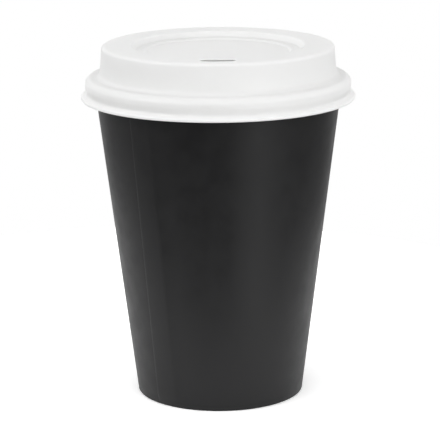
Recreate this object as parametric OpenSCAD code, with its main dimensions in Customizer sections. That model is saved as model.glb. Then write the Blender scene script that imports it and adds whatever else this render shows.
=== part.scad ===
// Single-wall paper cup for hot drinks, with a thermoformed lid.
// The origin is the middle of the foot, on the table. The sip slot faces the front, which is -Y.

/* [Cup] */
// Height from the table to the top of the rolled rim
cup_h = 111; // [80:1:160]
// Width across the rolled rim
rim_d = 89.6; // [80:0.2:100]
// Width across the foot
foot_d = 57.8; // [50:0.2:66]
// Width of the tube that the rim is rolled into
curl_d = 2.6; // [2.4:0.1:3.6]
// Height of the floor inside the cup above the table
floor_h = 8; // [6:0.5:14]
// Height of the hem that is folded up inside the foot
hem_h = 5.8; // [3:0.2:6]

/* [Board] */
// Thickness of the coated board of the side wall
board_t = 0.4; // [0.3:0.02:0.44]
// Thickness of the coated board of the bottom disc
disc_t = 0.38; // [0.3:0.02:0.5]
// Radius of the bend between the bottom disc and its skirt
disc_bend = 1; // [0.6:0.1:1.6]
// Seal that separates two layers of board at the foot and in the rolled rim
seal_t = 0.05; // [0.02:0.01:0.1]

/* [Side seam] */
// Width of the glued overlap
lap_w = 8; // [5:0.5:12]
// Turn of the overlap's middle from the front towards the viewer's left, in degrees
lap_turn = 39; // [0:1:180]

/* [Lid skirt] */
// Thickness of the moulded sheet
lid_t = 0.4; // [0.3:0.05:0.6]
// Gap over the rim, under the lid's shoulder
seat_gap = 0.3; // [0.2:0.05:0.5]
// Gap round the rim, inside the tightest ring of the skirt
snap_gap = 0.3; // [0.25:0.05:0.6]
// Swell of the bead outside that ring
bead_swell = 0.15; // [0.1:0.05:0.6]
// Depth of that ring below the top of the shoulder
ring_depth = 6.2; // [4.4:0.1:8]
// Flare of the lip outside that ring
lip_flare = 1.8; // [1.2:0.1:2.6]
// Drop from that ring to the lip's widest place
lip_drop = 0.9; // [0.6:0.1:1.6]
// Height of the lip's lower edge, which turns in below its widest place
lip_edge_h = 0.6; // [0.5:0.1:1.6]
// Turn-in of that edge
lip_turn_in = 0.2; // [0.1:0.05:0.4]

/* [Lid dome] */
// Height of the dome above the shoulder
dome_h = 10.6; // [8:0.2:16]
// Step in from the bead to the foot of the dome
shoulder_w = 4.9; // [4:0.1:6]
// Lean of the dome's wall, from its foot to its top
dome_lean = 0.9; // [0.4:0.1:3]
// Width of the flat ledge round the recess
ledge_w = 10.2; // [9.4:0.1:12]
// Depth of the recess below the ledge
recess_depth = 1.9; // [1.6:0.1:5]
// Run of the recess's sloping wall
recess_run = 1.4; // [1:0.1:2]
// Width of the shelf round the deck
shelf_w = 3.1; // [2.4:0.1:6]
// Drop from the shelf to the deck
deck_drop = 0.5; // [0.4:0.05:0.8]
// Run of the slope from the shelf to the deck
deck_run = 0.7; // [0.5:0.1:1.2]

/* [Sip slot and vent] */
// Length of the sip slot along its arc
slot_l = 11.8; // [8:0.2:18]
// Width of the sip slot
slot_w = 3.8; // [2:0.1:4.6]
// Distance from the dome's outer edge to the middle of the slot
slot_inset = 6.7; // [4.5:0.1:7.2]
// Width of the vent hole in the deck
vent_d = 1.2; // [0.8:0.1:2]
// Distance from the vent hole to the rim of the deck
vent_inset = 1.4; // [1.2:0.1:4]

/* [Hidden] */

// Bends on the moulded lid, as radii of its upper face
crest_bend = 1.2;
foot_bend = 1;
bead_bend = 2.2;
soft_bend = 0.7;
// Smallest radius that a bend's inner face keeps
inner_bend = 0.1;
// Degrees that one flat band of a bend turns through
bend_step = 10;
// Overshoot of a cut past the face that it opens
cut_over = 2;
// Depth to which the outer layer's run-out sinks into the wall, so that it ends in a clean line
run_sink = 0.03;

// Rolled rim: the board's middle line runs round the hub
curl_r = (curl_d - board_t) / 2;
hub = [(rim_d - curl_d) / 2, cup_h - curl_d / 2];
tuck_r = curl_r - (board_t + seal_t) / 2;
// Side wall: its outer face runs from the foot's edge and meets the rolled rim at a tangent
reach = hub - [foot_d / 2, 0];
wall_lean = atan2(reach.x, reach.y) - asin((curl_r - board_t / 2) / norm(reach));
// Foot: outer wall, seal, skirt of the disc, seal, hem
fold_bend = board_t / 2 + seal_t;
skirt_shift = board_t / 2 + seal_t + disc_t / 2;
hem_shift = board_t + 2 * seal_t + disc_t;
skirt_low = board_t + seal_t;
// Side seam: from the overlap's edge, the outer layer runs straight until it touches the wall again
lap_low = 2 * board_t;
lap_high = hub.y - curl_d / 2 - seal_t;
run_turn = asin(lap_w / foot_d) + acos(foot_d / (foot_d + 2 * board_t));

// Lid, by its upper face
sheet_r = rim_d / 2 + snap_gap + lid_t;
bead_r = sheet_r + bead_swell;
lip_r = sheet_r + lip_flare;
dome_foot_r = bead_r - shoulder_w;
dome_top_r = dome_foot_r - dome_lean;
recess_r = dome_top_r - ledge_w;
shelf_r = recess_r - recess_run;
deck_edge_r = shelf_r - shelf_w;
shoulder_z = cup_h + seat_gap + lid_t;
ring_z = shoulder_z - ring_depth;
lip_mid_z = ring_z - lip_drop;
lip_z = lip_mid_z - lip_edge_h;
lip_bend = lid_t + inner_bend;
crest_z = shoulder_z + dome_h;
shelf_z = crest_z - recess_depth;
deck_z = shelf_z - deck_drop;
slot_r = dome_top_r - slot_inset;
vent_r = deck_edge_r - deck_run - vent_inset;

// Point of the side wall at height z, set in from its outer face
function wall_at(z, set_in) = [foot_d / 2 + z * tan(wall_lean) - set_in / cos(wall_lean), z];

function unit(v) = v / norm(v);
function turned(v, a) = [v.x * cos(a) - v.y * sin(a), v.x * sin(a) + v.y * cos(a)];
function left_of(v) = [-v.y, v.x];

// A bend of radius r at corner p, between corners a and b, as pairs of a point and its left-hand normal
function bend(a, p, b, r) =
    let (
        u = unit(p - a),
        v = unit(b - p),
        turn = atan2(cross(u, v), u * v),
        side = sign(turn),
        steps = max(2, ceil(abs(turn) / bend_step)),
        centre = p - u * r * tan(abs(turn) / 2) + side * r * left_of(u)
    )
    [for (k = [0:steps])
        let (h = turned(u, turn * k / steps))
        [centre - side * r * left_of(h), left_of(h)]];

// A sheet's line through corners [radius, height, bend radius], as pairs of a point and its normal
function sheet_line(c) =
    let (
        p = [for (q = c) [q[0], q[1]]],
        last = len(c) - 1
    )
    concat(
        [[p[0], left_of(unit(p[1] - p[0]))]],
        [for (i = [1:last - 1]) each bend(p[i - 1], p[i], p[i + 1], c[i][2])],
        [[p[last], left_of(unit(p[last] - p[last - 1]))]]
    );

// Section of a sheet whose faces lie at the two given distances to the left of its line
module sheet_section(corners, near, far) {
    line = sheet_line(corners);
    polygon(concat(
        [for (s = line) s[0] + near * s[1]],
        [for (i = [len(line) - 1:-1:0]) line[i][0] + far * line[i][1]]
    ));
}

// One blank of board: rolled out at the rim, lapped at the side seam, folded up inside the foot
module side_wall() color("#2b2b2d") {
    difference() {
        wall_sheet();
        rotate(-90 - lap_turn) wall_layer(seal_t, board_t, lap_w / 2, run_sink + board_t);
    }
    rotate(-90 - lap_turn) wall_layer(-board_t, seal_t / 2, -lap_w / 2, run_sink);
}

// The blank's section, the same all round
module wall_sheet() {
    top = hub.y + curl_r;
    bottom = hub.y - curl_r;
    outer = hub.x + curl_r;
    tuck_x = hub.x - tuck_r;
    middle = board_t / 2;
    rotate_extrude($fn = 180)
        sheet_section([
            [tuck_x, hub.y],
            [tuck_x, bottom, tuck_r],
            [outer, bottom, curl_r],
            [outer, top, curl_r],
            [wall_at(top, middle).x, top, curl_r],
            [wall_at(middle, middle).x, middle, fold_bend],
            [wall_at(middle, middle + hem_shift).x, middle, fold_bend],
            wall_at(hem_h, middle + hem_shift)
        ], middle, -middle);
}

// Part of a layer of the wall beside the seam, between two depths from the wall's outer face:
// it begins at a straight edge, and ends where the flat run to the wall cuts it off
module wall_layer(outer, inner, edge, run_depth) {
    intersection() {
        rotate_extrude($fn = 180)
            polygon([
                wall_at(lap_low, inner),
                wall_at(lap_low, outer),
                wall_at(lap_high, outer),
                wall_at(lap_high, inner)
            ]);
        translate([0, edge, 0]) cube([rim_d, rim_d, cup_h]);
        rotate(run_turn)
            rotate([90, 0, 0])
                linear_extrude(rim_d)
                    polygon([[0, 0], wall_at(0, run_depth), wall_at(cup_h, run_depth), [0, cup_h]]);
    }
}

// Disc whose edge is drawn down into a skirt between the wall and the hem
module bottom_disc() color("#f1efea") {
    middle = disc_t / 2;
    plate_z = floor_h - middle;
    rotate_extrude($fn = 180)
        sheet_section([
            wall_at(skirt_low, skirt_shift + board_t / 2),
            concat(wall_at(plate_z, skirt_shift + board_t / 2), disc_bend),
            [0, plate_z]
        ], middle, -middle);
}

// One sheet: deck, shelf, recess, ledge, dome, shoulder over the rim, bead, ring and lip
module lid() color("#f4f4f2") {
    difference() {
        rotate_extrude($fn = 180)
            sheet_section([
                [0, deck_z],
                [deck_edge_r - deck_run, deck_z, soft_bend],
                [deck_edge_r, shelf_z, soft_bend],
                [shelf_r, shelf_z, soft_bend],
                [recess_r, crest_z, soft_bend],
                [dome_top_r, crest_z, crest_bend],
                [dome_foot_r, shoulder_z, foot_bend],
                [bead_r, shoulder_z, bead_bend],
                [sheet_r, ring_z, soft_bend],
                [lip_r, lip_mid_z, lip_bend],
                [lip_r - lip_turn_in, lip_z]
            ], 0, -lid_t);
        sip_slot();
        translate([0, vent_r, deck_z - lid_t - cut_over])
            cylinder(h = lid_t + 2 * cut_over, d = vent_d, $fn = 48);
    }
}

// Slot along an arc round the lid's middle, with round ends
module sip_slot() {
    half_turn = (slot_l - slot_w) / 2 / slot_r * 180 / PI;
    translate([0, 0, crest_z - lid_t - cut_over]) {
        rotate(-90 - half_turn)
            rotate_extrude(angle = 2 * half_turn, $fn = 180)
                translate([slot_r - slot_w / 2, 0]) square([slot_w, lid_t + 2 * cut_over]);
        for (side = [-1, 1])
            rotate(-90 + side * half_turn)
                translate([slot_r, 0, 0]) cylinder(h = lid_t + 2 * cut_over, d = slot_w, $fn = 48);
    }
}

side_wall();
bottom_disc();
lid();
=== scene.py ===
import math

import bpy
import numpy as np
from mathutils import Matrix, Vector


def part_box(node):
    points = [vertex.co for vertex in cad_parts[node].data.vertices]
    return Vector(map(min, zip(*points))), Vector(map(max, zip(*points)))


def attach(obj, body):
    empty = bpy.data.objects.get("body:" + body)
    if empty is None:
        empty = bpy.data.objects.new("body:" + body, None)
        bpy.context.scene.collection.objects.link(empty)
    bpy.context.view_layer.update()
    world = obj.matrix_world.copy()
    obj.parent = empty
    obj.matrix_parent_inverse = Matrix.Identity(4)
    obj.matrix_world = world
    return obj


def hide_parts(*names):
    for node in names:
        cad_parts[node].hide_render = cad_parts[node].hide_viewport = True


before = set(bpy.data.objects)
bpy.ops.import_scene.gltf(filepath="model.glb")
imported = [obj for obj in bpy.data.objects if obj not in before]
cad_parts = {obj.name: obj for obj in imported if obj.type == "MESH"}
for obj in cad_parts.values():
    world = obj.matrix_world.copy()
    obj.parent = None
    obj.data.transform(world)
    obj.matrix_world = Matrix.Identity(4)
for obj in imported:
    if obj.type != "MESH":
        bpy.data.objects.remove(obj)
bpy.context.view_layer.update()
scene = bpy.context.scene
scene.view_settings.view_transform = "Standard"

# Camera: a long lens that looks a little down on the cup from three quarters of a metre.
# Its place, turn and lens were solved from the outlines of the foot, the wall and the lid in the photograph.
eye = (-0.0006, -0.7579, 0.2442)
look_down, look_right, lean_right = math.radians(13.63), math.radians(0.067), math.radians(0.443)
film_width, lens_length = 36.0, 183.0

camera = bpy.data.objects.new("camera", bpy.data.cameras.new("camera"))
scene.collection.objects.link(camera)
scene.camera = camera
camera.data.sensor_width = film_width
camera.data.lens = lens_length
camera.data.clip_end = 20.0
camera.matrix_world = (
    Matrix.Translation(eye)
    @ Matrix.Rotation(-look_right, 4, "Z")
    @ Matrix.Rotation(math.pi / 2 - look_down, 4, "X")
    @ Matrix.Rotation(-lean_right, 4, "Z")
)


# Studio: the cup stands near the front edge of a round top of matt white card, in a white tent that gives most of
# its light from the horizon to half way up. Softboxes hang over the front and stand to the left, and a tall strip
# stands to the right in front, from below the top's height. A black cloth on the studio's floor shows only in gloss.
# Card and tent are pure white to the camera and in reflections, and the card keeps the cup's soft shadow.
band_front, band_back = 1.75, 1.3  # strength of the tent's bright band, on the camera's side and behind the cup
below_light, zenith_light = 0.4, 0.46  # its strength below the horizon and overhead
front_to_back = (-0.2, 0.8)  # Y of a direction of length 1, from the band's front strength to its back strength
below_to_band, band_to_zenith = (-0.05, 0.2), (0.5, 0.9)  # Z of a direction, from one strength to the next
card_radius, card_left, card_back, card_sides = 0.17, 0.02, 0.07, 96
card_z = -0.00005  # a hair below the foot, so that no two faces coincide
card_lift = 1.5  # times the card's own colour, where the camera or a reflection sees it
cloth_half_width, cloth_front, cloth_back, cloth_z = 2.0, -3.5, 1.5, -0.45


def add_node(tree, kind, inputs=None, **settings):
    """Adds a node to a tree. settings are the node's own properties. inputs gives, by name or number,
    each input's constant, or the output that is linked to it."""
    made = tree.nodes.new(kind)
    for name, value in settings.items():
        setattr(made, name, value)
    for name, value in (inputs or {}).items():
        if isinstance(value, bpy.types.NodeSocket):
            tree.links.new(value, made.inputs[name])
        else:
            made.inputs[name].default_value = value
    return made


def linear(code, times=1.0):
    """An sRGB colour such as #f1efea as linear red, green and blue, each times a factor, and an alpha of 1.
    The curve's toe, up to 0.04045, is a straight line, and the rest of it is a power of 2.4."""
    parts = [int(code[k:k + 2], 16) / 255 for k in (1, 3, 5)]
    return [times * (c / 12.92 if c <= 0.04045 else ((c + 0.055) / 1.055) ** 2.4) for c in parts] + [1.0]


def new_material(name):
    """A named material with an empty node tree."""
    material = bpy.data.materials.new(name)
    material.use_nodes = True
    material.node_tree.nodes.clear()
    return material, material.node_tree


def lamp(name, place, aim, width, height, watts):
    """A soft rectangular lamp of that size in metres, turned so that its face looks from place to aim."""
    data = bpy.data.lights.new(name, "AREA")
    data.shape, data.size, data.size_y, data.energy = "RECTANGLE", width, height, watts
    made = bpy.data.objects.new(name, data)
    scene.collection.objects.link(made)
    away = Matrix.Translation(place).translation - Matrix.Translation(aim).translation
    made.matrix_world = Matrix.Translation(place) @ away.to_track_quat("Z", "Y").to_matrix().to_4x4()
    return made


tent = bpy.data.worlds.new("white_tent")
tent.use_nodes = True
tree = tent.node_tree
tree.nodes.clear()
scene.world = tent
ray = add_node(tree, "ShaderNodeLightPath")
direction = add_node(tree, "ShaderNodeTexCoord")
toward = add_node(tree, "ShaderNodeSeparateXYZ", {0: direction.outputs["Generated"]})
band = add_node(tree, "ShaderNodeMapRange", {
    "Value": toward.outputs["Y"], "From Min": front_to_back[0], "From Max": front_to_back[1],
    "To Min": band_front, "To Max": band_back}, interpolation_type="SMOOTHSTEP")
rise = add_node(tree, "ShaderNodeMapRange", {
    "Value": toward.outputs["Z"], "From Min": below_to_band[0], "From Max": below_to_band[1]},
    interpolation_type="SMOOTHSTEP")
high = add_node(tree, "ShaderNodeMapRange", {
    "Value": toward.outputs["Z"], "From Min": band_to_zenith[0], "From Max": band_to_zenith[1]},
    interpolation_type="SMOOTHSTEP")
lit = add_node(tree, "ShaderNodeMix", {"Factor": rise.outputs["Result"], "A": below_light, "B": band.outputs["Result"]})
lit = add_node(tree, "ShaderNodeMix", {"Factor": high.outputs["Result"], "A": lit.outputs["Result"],
                                       "B": zenith_light})
seen = add_node(tree, "ShaderNodeMath", {0: ray.outputs["Is Camera Ray"], 1: ray.outputs["Is Glossy Ray"]},
                operation="MAXIMUM")
seen = add_node(tree, "ShaderNodeMath", {0: seen.outputs[0], 1: ray.outputs["Is Transmission Ray"]},
                operation="MAXIMUM")
level = add_node(tree, "ShaderNodeMix", {"Factor": seen.outputs[0], "A": lit.outputs["Result"], "B": 1.0})
sky = add_node(tree, "ShaderNodeBackground", {"Color": linear("#ffffff"), "Strength": level.outputs["Result"]})
add_node(tree, "ShaderNodeOutputWorld", {"Surface": sky.outputs[0]})

lamp("top_softbox", place=(0.0, -0.25, 0.75), aim=(0.0, 0.0, 0.1), width=0.45, height=0.45, watts=0.5)
lamp("right_strip", place=(0.41, -0.50, -0.05), aim=(0.0, 0.0, 0.06), width=0.3, height=0.7, watts=1.5)
lamp("left_softbox", place=(-0.8, -0.4, 0.5), aim=(0.0, 0.0, 0.1), width=0.5, height=0.6, watts=1.8)

white_card, tree = new_material("matt_white_card")
ray = add_node(tree, "ShaderNodeLightPath")
shown = add_node(tree, "ShaderNodeMath", {0: ray.outputs["Is Camera Ray"], 1: ray.outputs["Is Glossy Ray"]},
                 operation="MAXIMUM")
shown = add_node(tree, "ShaderNodeMath", {0: shown.outputs[0], 1: ray.outputs["Is Transmission Ray"]},
                 operation="MAXIMUM")
card = add_node(tree, "ShaderNodeMix", {"Factor": shown.outputs[0], "A": linear("#f4f4f4"),
                                        "B": linear("#f4f4f4", card_lift)}, data_type="RGBA")
matt = add_node(tree, "ShaderNodeBsdfDiffuse", {"Color": card.outputs["Result"]})
add_node(tree, "ShaderNodeOutputMaterial", {"Surface": matt.outputs[0]})

turn = np.linspace(0, 2 * np.pi, card_sides, endpoint=False)
edge = np.stack([card_radius * np.cos(turn) - card_left, card_radius * np.sin(turn) + card_back, 0 * turn + card_z],
                axis=1)
table_mesh = bpy.data.meshes.new("table_card")
table_mesh.from_pydata(edge.tolist(), [], [list(range(len(edge)))])
table_card = bpy.data.objects.new("table_card", table_mesh)
scene.collection.objects.link(table_card)
table_mesh.materials.append(white_card)

black_cloth, tree = new_material("black_studio_cloth")
matt = add_node(tree, "ShaderNodeBsdfDiffuse", {"Color": linear("#0c0c0c")})
add_node(tree, "ShaderNodeOutputMaterial", {"Surface": matt.outputs[0]})
cloth_mesh = bpy.data.meshes.new("floor_cloth")
cloth_mesh.from_pydata([(x * cloth_half_width, y, cloth_z) for x, y in (
    (-1, cloth_front), (1, cloth_front), (1, cloth_back), (-1, cloth_back))], [], [(0, 1, 2, 3)])
floor_cloth = bpy.data.objects.new("floor_cloth", cloth_mesh)
scene.collection.objects.link(floor_cloth)
cloth_mesh.materials.append(black_cloth)
floor_cloth.visible_camera = floor_cloth.visible_diffuse = floor_cloth.visible_shadow = False


# Cup wall: one fan-shaped blank of coated board, printed black outside and white inside. It is wrapped into a cone
# and sealed where its ends lap, rolled outwards into a hollow rim, and folded up round the bottom disc's skirt.
mm = 0.001
rim_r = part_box("side_wall")[1].x / mm
cup_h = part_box("side_wall")[1].z / mm
foot_r = 28.9
curl_d, board_t, seal_t, disc_t = 2.6, 0.4, 0.05, 0.38  # rolled rim's tube, board, seal between layers, disc's board
hem_h = 5.8  # height of the board that is folded up inside the foot
lap_w, lap_turn = 8.0, math.radians(39)  # width of the side seam's overlap, and its turn from the front to the left
pressed_z, free_z = 0.9, 4.0  # heights on the wall between which the overlap is pressed flat into the foot
board_edge_round = 0.09
same_point = 0.001  # points that are nearer than this are one
cut_angle, crease_angle = math.radians(60), math.radians(50)  # past these an edge is rounded, or shades crisply
lap_steps, run_steps, round_steps = 10, 8, 170  # columns on the overlap, on its straight run-out and on the rest

curl_r = (curl_d - board_t) / 2
hub_r, hub_z = rim_r - curl_d / 2, cup_h - curl_d / 2
tuck_r = curl_r - (board_t + seal_t) / 2
reach_r, reach_z = hub_r - foot_r, hub_z
wall_lean = math.atan2(reach_r, reach_z) - math.asin((curl_r - board_t / 2) / math.hypot(reach_r, reach_z))
hem_shift = board_t + 2 * seal_t + disc_t


def wall_r(z, set_in):
    """Radius of the cone at height z, measured set_in below the wall's outer face."""
    return foot_r + z * math.tan(wall_lean) - set_in / math.cos(wall_lean)


def bent_line(corners, bend_step, straight_step):
    """Points along a bent sheet's line, in mm. A corner is (radius, height, bend radius). Its bend is the arc that
    touches both of its sides, in steps of bend_step degrees. Straight stretches are cut into equal lengths of
    about straight_step."""
    spots = np.array(corners, float)
    marks = [spots[:1, :2]]
    for before, here, after in zip(spots[:-2], spots[1:-1], spots[2:]):
        arrive, leave = here[:2] - before[:2], after[:2] - here[:2]
        arrive, leave = arrive / np.hypot(*arrive), leave / np.hypot(*leave)
        turned = math.atan2(arrive[0] * leave[1] - arrive[1] * leave[0], arrive @ leave)
        steps = max(2, math.ceil(abs(math.degrees(turned)) / bend_step))
        side = math.copysign(here[2], turned)
        centre = here[:2] - arrive * here[2] * math.tan(abs(turned) / 2) + side * np.array([-arrive[1], arrive[0]])
        heading = math.atan2(arrive[1], arrive[0]) + turned * np.arange(steps + 1) / steps
        marks.append(centre + side * np.stack([np.sin(heading), -np.cos(heading)], axis=1))
    marks.append(spots[-1:, :2])
    line = [marks[0]]
    for start, stretch in zip(marks[:-1], marks[1:]):
        pieces = max(1, math.ceil(np.hypot(*(stretch[0] - start[-1])) / straight_step))
        share = np.arange(1, pieces)[:, None] / pieces
        line += [start[-1] + share * (stretch[0] - start[-1]), stretch]
    line = np.concatenate(line)
    apart = np.hypot(*np.diff(line, axis=0).T) > same_point
    return line[np.append(True, apart)]


def left_normals(line):
    """Unit normals to the left of a line, square to the chord between each point's neighbours."""
    along = np.gradient(line, axis=0)
    return np.stack([-along[:, 1], along[:, 0]], axis=1) / np.hypot(along[:, 0], along[:, 1])[:, None]


def revolved(radius, height, turn):
    """Points in mm at those radii, heights and turns about the upright axis, which may be grids."""
    return np.stack(np.broadcast_arrays(radius * np.cos(turn), radius * np.sin(turn), height), axis=-1)


def grid_faces(rows, columns, closed):
    """Four-cornered faces between neighbouring rows and columns. closed joins the last column to the first."""
    last = columns if closed else columns - 1
    row, column = np.mgrid[0:rows - 1, 0:last]
    across = (column + 1) % columns
    return np.stack([row * columns + column, (row + 1) * columns + column,
                     (row + 1) * columns + across, row * columns + across], axis=-1)


def sheet_piece(name, points, faces, materials, thickness, offset, edge_round):
    """Makes a piece from points in mm and faces: doubles merged, given its thickness, edges rounded, smooth.
    materials are those of the first side, of the other side and of the cut edges. offset is 0 where the points lie
    in the middle of the sheet, and -1 where they lie on the first side."""
    mesh = bpy.data.meshes.new(name)
    mesh.from_pydata((points.reshape(-1, 3) * mm).tolist(), [], faces.reshape(-1, 4).tolist())
    piece = bpy.data.objects.new(name, mesh)
    scene.collection.objects.link(piece)
    for material in materials:
        mesh.materials.append(material)
    merge = piece.modifiers.new("merge", "WELD")
    merge.merge_threshold = same_point * mm
    solid = piece.modifiers.new("thickness", "SOLIDIFY")
    solid.thickness, solid.offset = thickness * mm, offset
    solid.use_even_offset = True
    solid.material_offset, solid.material_offset_rim = 1, 2
    rounding = piece.modifiers.new("rounding", "BEVEL")
    rounding.width, rounding.segments = edge_round * mm, 2
    rounding.limit_method, rounding.angle_limit = "ANGLE", cut_angle
    finished = bpy.data.meshes.new_from_object(piece.evaluated_get(bpy.context.evaluated_depsgraph_get()))
    piece.modifiers.clear()
    piece.data = finished
    bpy.data.meshes.remove(mesh)
    finished.name = name
    finished.polygons.foreach_set("use_smooth", np.ones(len(finished.polygons), bool))
    finished.set_sharp_from_angle(angle=crease_angle)
    return piece


def wall_grid():
    """The middle of the blank, as a grid: rows run along its section from the tucked rim to the hem, and columns
    round the cup from the outer layer's edge to the inner layer's edge, a full turn and one lap further. The
    outer layer stands off by one board until the lap ends, then runs straight to the cone it left."""
    top, bottom, middle = hub_z + curl_r, hub_z - curl_r, board_t / 2
    section = bent_line([
        (hub_r - tuck_r, hub_z, 0),
        (hub_r - tuck_r, bottom, tuck_r),
        (hub_r + curl_r, bottom, curl_r),
        (hub_r + curl_r, top, curl_r),
        (wall_r(top, middle), top, curl_r),
        (wall_r(middle, middle), middle, middle + seal_t),
        (wall_r(middle, middle + hem_shift), middle, middle + seal_t),
        (wall_r(hem_h, middle + hem_shift), hem_h, 0),
    ], bend_step=12, straight_step=1.5)
    black_side = left_normals(section)
    on_wall = np.arange(len(section)) > np.argmax(section[:, 1])
    past_fold = on_wall & (np.arange(len(section)) > np.argmin(section[:, 1]))
    height = np.where(past_fold, 0, np.where(on_wall, section[:, 1], cup_h))
    outer_r = (foot_r + height * math.tan(wall_lean))[:, None]
    lap = 2 * np.arcsin(lap_w / 2 / outer_r)
    stand_off = board_t + seal_t / 2
    run = np.arccos(outer_r / (outer_r + stand_off))
    marks = np.concatenate([0 * lap, lap, lap + run, 0 * lap + 2 * np.pi, lap + 2 * np.pi], axis=1)
    columns = np.concatenate([
        np.linspace(0, 1, lap_steps, endpoint=False), np.linspace(1, 2, run_steps, endpoint=False),
        np.linspace(2, 3, round_steps, endpoint=False), np.linspace(3, 4, lap_steps + 1)])
    zone = np.minimum(columns.astype(int), 3)
    turn = marks[:, zone] + (columns - zone) * (marks[:, zone + 1] - marks[:, zone])
    to_touch = np.clip(lap + run - turn, 0, run)
    lift = outer_r / np.cos(to_touch) - outer_r
    pressed = np.clip((height - pressed_z) / (free_z - pressed_z), 0, 1)[:, None]
    lift = lift * pressed ** 2 * (3 - 2 * pressed)
    lift = np.where(turn >= 2 * np.pi, 0, lift)
    radius = section[:, :1] + lift * black_side[:, :1]
    level = section[:, 1:] + lift * black_side[:, 1:]
    start = -np.pi / 2 - lap_turn - lap / 2
    faces = grid_faces(*turn.shape, closed=False)
    under_lap = columns[:-1] >= 3
    in_foot = height[1:] < pressed_z
    keep = ~(in_foot[:, None] & under_lap[None, :])
    return revolved(radius, level, start + turn), faces[keep]


# Solid black print under a satin water-based varnish on clay-coated board: near-black, with a soft sheen
# that the board's fibres break into a faint cloudy grain. Real fibre is finer, and is drawn in flocks that show.
cloud_size, flock_size = 6.0 * mm, 0.9 * mm
black_print, tree = new_material("satin_black_printed_board")
place = add_node(tree, "ShaderNodeTexCoord")
cloud = add_node(tree, "ShaderNodeTexNoise", {"Vector": place.outputs["Object"], "Scale": 1 / cloud_size,
                                              "Detail": 4.0, "Roughness": 0.6})
fibre = add_node(tree, "ShaderNodeTexNoise", {"Vector": place.outputs["Object"], "Scale": 1 / flock_size,
                                              "Detail": 3.0, "Roughness": 0.6})
ink = add_node(tree, "ShaderNodeMix", {"Factor": cloud.outputs[0], "A": linear("#0a0a0b"), "B": linear("#161617")},
               data_type="RGBA")
sheen = add_node(tree, "ShaderNodeMapRange", {"Value": cloud.outputs[0], "From Min": 0.3, "From Max": 0.7,
                                              "To Min": 0.45, "To Max": 0.55})
grain = add_node(tree, "ShaderNodeBump", {"Height": fibre.outputs[0], "Strength": 0.12, "Distance": 0.05 * mm})
shader = add_node(tree, "ShaderNodeBsdfPrincipled", {
    "Base Color": ink.outputs["Result"], "Roughness": sheen.outputs["Result"], "Normal": grain.outputs[0],
    "IOR": 1.5, "Specular IOR Level": 0.28})
add_node(tree, "ShaderNodeOutputMaterial", {"Surface": shader.outputs[0]})

# The same board's inner face: a thin polyethylene film over white board, smooth and slightly glossy, with the
# gentle waves of the fibre flocks under it.
flock_size = 1.2 * mm
white_film, tree = new_material("film_coated_white_board")
place = add_node(tree, "ShaderNodeTexCoord")
fibre = add_node(tree, "ShaderNodeTexNoise", {"Vector": place.outputs["Object"], "Scale": 1 / flock_size,
                                              "Detail": 3.0, "Roughness": 0.6})
sheen = add_node(tree, "ShaderNodeMapRange", {"Value": fibre.outputs[0], "To Min": 0.3, "To Max": 0.42})
grain = add_node(tree, "ShaderNodeBump", {"Height": fibre.outputs[0], "Strength": 0.1, "Distance": 0.05 * mm})
shader = add_node(tree, "ShaderNodeBsdfPrincipled", {
    "Base Color": linear("#efede7"), "Roughness": sheen.outputs["Result"], "Normal": grain.outputs[0], "IOR": 1.5})
add_node(tree, "ShaderNodeOutputMaterial", {"Surface": shader.outputs[0]})

# The cut edge of the board: pressed fibres, drawn coarser than they are, stained by the black print, matt and
# a little lighter than the print.
fibre_size = 0.4 * mm
cut_edge, tree = new_material("cut_board_edge")
place = add_node(tree, "ShaderNodeTexCoord")
fibre = add_node(tree, "ShaderNodeTexNoise", {"Vector": place.outputs["Object"], "Scale": 1 / fibre_size,
                                              "Detail": 3.0, "Roughness": 0.6})
stain = add_node(tree, "ShaderNodeMix", {"Factor": fibre.outputs[0], "A": linear("#3a3938"), "B": linear("#6a6865")},
                 data_type="RGBA")
shader = add_node(tree, "ShaderNodeBsdfPrincipled", {"Base Color": stain.outputs["Result"], "Roughness": 0.85})
add_node(tree, "ShaderNodeOutputMaterial", {"Surface": shader.outputs[0]})

cup_wall = sheet_piece("cup_wall", *wall_grid(), [black_print, white_film, cut_edge], board_t, 0, board_edge_round)
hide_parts("side_wall")
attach(cup_wall, "cup")


# Cup bottom: a disc of the same board in white, its edge drawn down into a skirt that is sealed between
# the wall and the folded hem. Its film faces the drink, and its bare side faces the table.
floor_h, disc_bend = 8.0, 1.0
disc_steps = 180


def disc_grid():
    """The middle of the disc's board, revolved: up the skirt, round the bend and in to the middle."""
    inset = board_t + seal_t + disc_t / 2
    plate_z = floor_h - disc_t / 2
    low_z = board_t + seal_t
    section = bent_line([
        (wall_r(low_z, inset), low_z, 0),
        (wall_r(plate_z, inset), plate_z, disc_bend),
        (0, plate_z, 0),
    ], bend_step=10, straight_step=1.5)
    turn = np.linspace(0, 2 * np.pi, disc_steps, endpoint=False)
    return revolved(section[:, :1], section[:, 1:], turn), grid_faces(len(section), len(turn), closed=True)


# Bare white board: matt, a little warm and faintly fibrous, its fibres drawn in flocks that show.
flock_size = 0.7 * mm
bare_board, tree = new_material("bare_white_board")
place = add_node(tree, "ShaderNodeTexCoord")
fibre = add_node(tree, "ShaderNodeTexNoise", {"Vector": place.outputs["Object"], "Scale": 1 / flock_size,
                                              "Detail": 4.0, "Roughness": 0.65})
pulp = add_node(tree, "ShaderNodeMix", {"Factor": fibre.outputs[0], "A": linear("#e6e2d8"), "B": linear("#f0ede5")},
                data_type="RGBA")
grain = add_node(tree, "ShaderNodeBump", {"Height": fibre.outputs[0], "Strength": 0.3, "Distance": 0.06 * mm})
shader = add_node(tree, "ShaderNodeBsdfPrincipled", {
    "Base Color": pulp.outputs["Result"], "Roughness": 0.8, "Normal": grain.outputs[0]})
add_node(tree, "ShaderNodeOutputMaterial", {"Surface": shader.outputs[0]})

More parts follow.
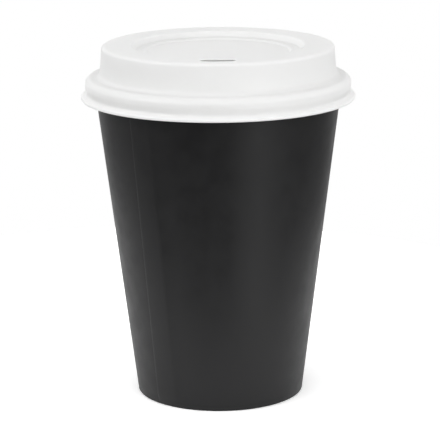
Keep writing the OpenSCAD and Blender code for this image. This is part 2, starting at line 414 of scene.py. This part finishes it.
cup_bottom = sheet_piece("cup_bottom", *disc_grid(), [bare_board, white_film, bare_board], disc_t, 0,
                         board_edge_round)
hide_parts("bottom_disc")
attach(cup_bottom, "cup")


# Lid: one sheet of white polystyrene, drawn by vacuum over a mould, then punched and trimmed. It has a sunk deck
# with a vent hole, a ledge with the sip slot, a dome, the bead that snaps over the rim, and a flared lip.
lid_t = 0.4
seat_gap, snap_gap = 0.3, 0.3
bead_swell, ring_depth = 0.15, 6.2
# The lip's corner, which stands further out than the round bend that it gets, and the edge below it
lip_flare, lip_drop, lip_edge_h, lip_turn_in = 1.95, 0.5, 0.88, 0.55
dome_h, shoulder_w, dome_lean = 10.6, 4.9, 0.9
belly_depth, waist_in, waist_depth = 3.7, 0.8, 5.9  # the bead's belly and the waist that snaps in under the rim
foot_bend, bead_bend, belly_bend, waist_bend = 1.6, 2.2, 3.0, 0.9
ledge_w, recess_depth, recess_run = 10.2, 1.9, 1.4
shelf_w, deck_drop, deck_run = 3.1, 0.5, 0.7
crest_bend, soft_bend, lip_bend = 1.2, 0.7, 0.6
slot_l, slot_w, slot_inset = 11.8, 3.8, 6.7
vent_d, vent_inset = 1.2, 1.4
trim_round = 0.08
lid_steps, hole_steps = 180, 5  # columns round the lid, and rings round a hole
slot_margin, vent_margin = 1.2, 1.8  # width of the sheet round each hole that its rings take up

sheet_r = rim_r + snap_gap + lid_t
bead_r = sheet_r + bead_swell
lip_r = sheet_r + lip_flare
dome_foot_r = bead_r - shoulder_w
dome_top_r = dome_foot_r - dome_lean
recess_r = dome_top_r - ledge_w
shelf_r = recess_r - recess_run
deck_edge_r = shelf_r - shelf_w
shoulder_z = cup_h + seat_gap + lid_t
crest_z = shoulder_z + dome_h
shelf_z = crest_z - recess_depth
deck_z = shelf_z - deck_drop
ring_z = shoulder_z - ring_depth
lip_z = ring_z - lip_drop
belly_z = shoulder_z - belly_depth
waist_r, waist_z = bead_r - waist_in, shoulder_z - waist_depth
slot_r = dome_top_r - slot_inset
vent_r = deck_edge_r - deck_run - vent_inset


def hole_rings(grid, first, at_r, at_turn, length, width, margin):
    """Rings of points round a hole with round ends in a flat stretch of a revolved grid. They pass in equal steps
    from the outline of the cells within a margin of the hole to its edge: a ring's point lies on the straight line
    from a point of the outline to the edge point that is nearest to it. Gives the rings, whose numbers begin at
    first, the faces between them, and a mask of the cells that they take the place of."""
    columns = grid.shape[1]
    radius = np.hypot(grid[..., 0], grid[..., 1])
    around = (np.arctan2(grid[..., 1], grid[..., 0]) - at_turn + np.pi) % (2 * np.pi) - np.pi
    level = grid[np.argmin(np.abs(radius[:, 0] - at_r)), 0, 2]
    inside = (np.abs(radius - at_r) <= width / 2 + margin) & (np.abs(around * at_r) <= length / 2 + margin)
    inside &= np.abs(grid[..., 2] - level) < same_point
    row, column = np.nonzero(inside)
    low, high = row.min(), row.max()
    order = np.argsort(around[low, column[row == low]])
    span = column[row == low][order]
    loop = np.concatenate([
        low * columns + span[:-1],
        np.arange(low, high) * columns + span[-1],
        high * columns + span[:0:-1],
        np.arange(high, low, -1) * columns + span[0],
    ])
    gone = inside & np.roll(inside, -1, axis=1)
    gone = gone[:-1] & gone[1:]
    a = around.reshape(-1)[loop] * at_r
    b = radius.reshape(-1)[loop] - at_r
    core = np.clip(a, -(length - width) / 2, (length - width) / 2)
    away = np.hypot(a - core, b)
    share = np.linspace(0, 1, hole_steps + 1)[1:, None]
    ring_a = a + share * (core + (a - core) / away * width / 2 - a)
    ring_b = b + share * (b / away * width / 2 - b)
    rings = revolved(at_r + ring_b, level, at_turn + ring_a / at_r)
    index = np.concatenate([loop[None], first + np.arange(ring_a.size).reshape(hole_steps, -1)])
    across = np.roll(index, -1, axis=1)
    between = np.stack([index[:-1], index[1:], across[1:], across[:-1]], axis=-1)
    return rings.reshape(-1, 3), between.reshape(-1, 4), gone


def lid_grid():
    """The lid's upper face, revolved from the middle of the deck to the trimmed edge of the lip."""
    section = bent_line([
        (0, deck_z, 0),
        (deck_edge_r - deck_run, deck_z, soft_bend),
        (deck_edge_r, shelf_z, soft_bend),
        (shelf_r, shelf_z, soft_bend),
        (recess_r, crest_z, soft_bend),
        (dome_top_r, crest_z, crest_bend),
        (dome_foot_r, shoulder_z, foot_bend),
        (bead_r, shoulder_z, bead_bend),
        (bead_r, belly_z, belly_bend),
        (waist_r, waist_z, waist_bend),
        (lip_r, lip_z, lip_bend),
        (lip_r - lip_turn_in, lip_z - lip_edge_h, 0),
    ], bend_step=8, straight_step=0.8)
    turn = np.linspace(0, 2 * np.pi, lid_steps, endpoint=False)
    grid = revolved(section[:, :1], section[:, 1:], turn)
    faces = grid_faces(len(section), len(turn), closed=True)
    count = len(section) * len(turn)
    slot, slot_faces, slot_cells = hole_rings(grid, count, slot_r, -np.pi / 2, slot_l, slot_w, slot_margin)
    vent, vent_faces, vent_cells = hole_rings(grid, count + len(slot), vent_r, np.pi / 2, vent_d, vent_d, vent_margin)
    points = np.concatenate([grid.reshape(-1, 3), slot, vent])
    return points, np.concatenate([faces[~(slot_cells | vent_cells)], slot_faces, vent_faces])


# Polystyrene sheet: white and a little see-through at this thickness, with the fine matt skin
# that a sand-blasted mould leaves, so that its highlights are wide and soft. The skin's grain is drawn coarse enough
# to show. The draw leaves wider waves in the sheen.
grain_size, wave_size, glow_depth = 0.8 * mm, 9.0 * mm, 1.8 * mm
styrene, tree = new_material("thermoformed_white_polystyrene")
place = add_node(tree, "ShaderNodeTexCoord")
skin = add_node(tree, "ShaderNodeTexNoise", {"Vector": place.outputs["Object"], "Scale": 1 / grain_size,
                                             "Detail": 2.0, "Roughness": 0.5})
wave = add_node(tree, "ShaderNodeTexNoise", {"Vector": place.outputs["Object"], "Scale": 1 / wave_size,
                                             "Detail": 1.0})
sheen = add_node(tree, "ShaderNodeMapRange", {"Value": wave.outputs[0], "To Min": 0.38, "To Max": 0.5})
grain = add_node(tree, "ShaderNodeBump", {"Height": skin.outputs[0], "Strength": 0.06, "Distance": 0.04 * mm})
shader = add_node(tree, "ShaderNodeBsdfPrincipled", {
    "Base Color": linear("#f8f8f7"), "Roughness": sheen.outputs["Result"], "Normal": grain.outputs[0], "IOR": 1.59,
    "Subsurface Weight": 0.7, "Subsurface Radius": (1.0, 1.0, 1.0), "Subsurface Scale": glow_depth})
through = add_node(tree, "ShaderNodeBsdfTranslucent", {"Color": linear("#fbfbfa")})
shader = add_node(tree, "ShaderNodeMixShader", {0: 0.15, 1: shader.outputs[0], 2: through.outputs[0]})
add_node(tree, "ShaderNodeOutputMaterial", {"Surface": shader.outputs[0]})

sip_lid = sheet_piece("sip_lid", *lid_grid(), [styrene, styrene, styrene], lid_t, -1, trim_round)
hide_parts("lid")
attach(sip_lid, "lid")
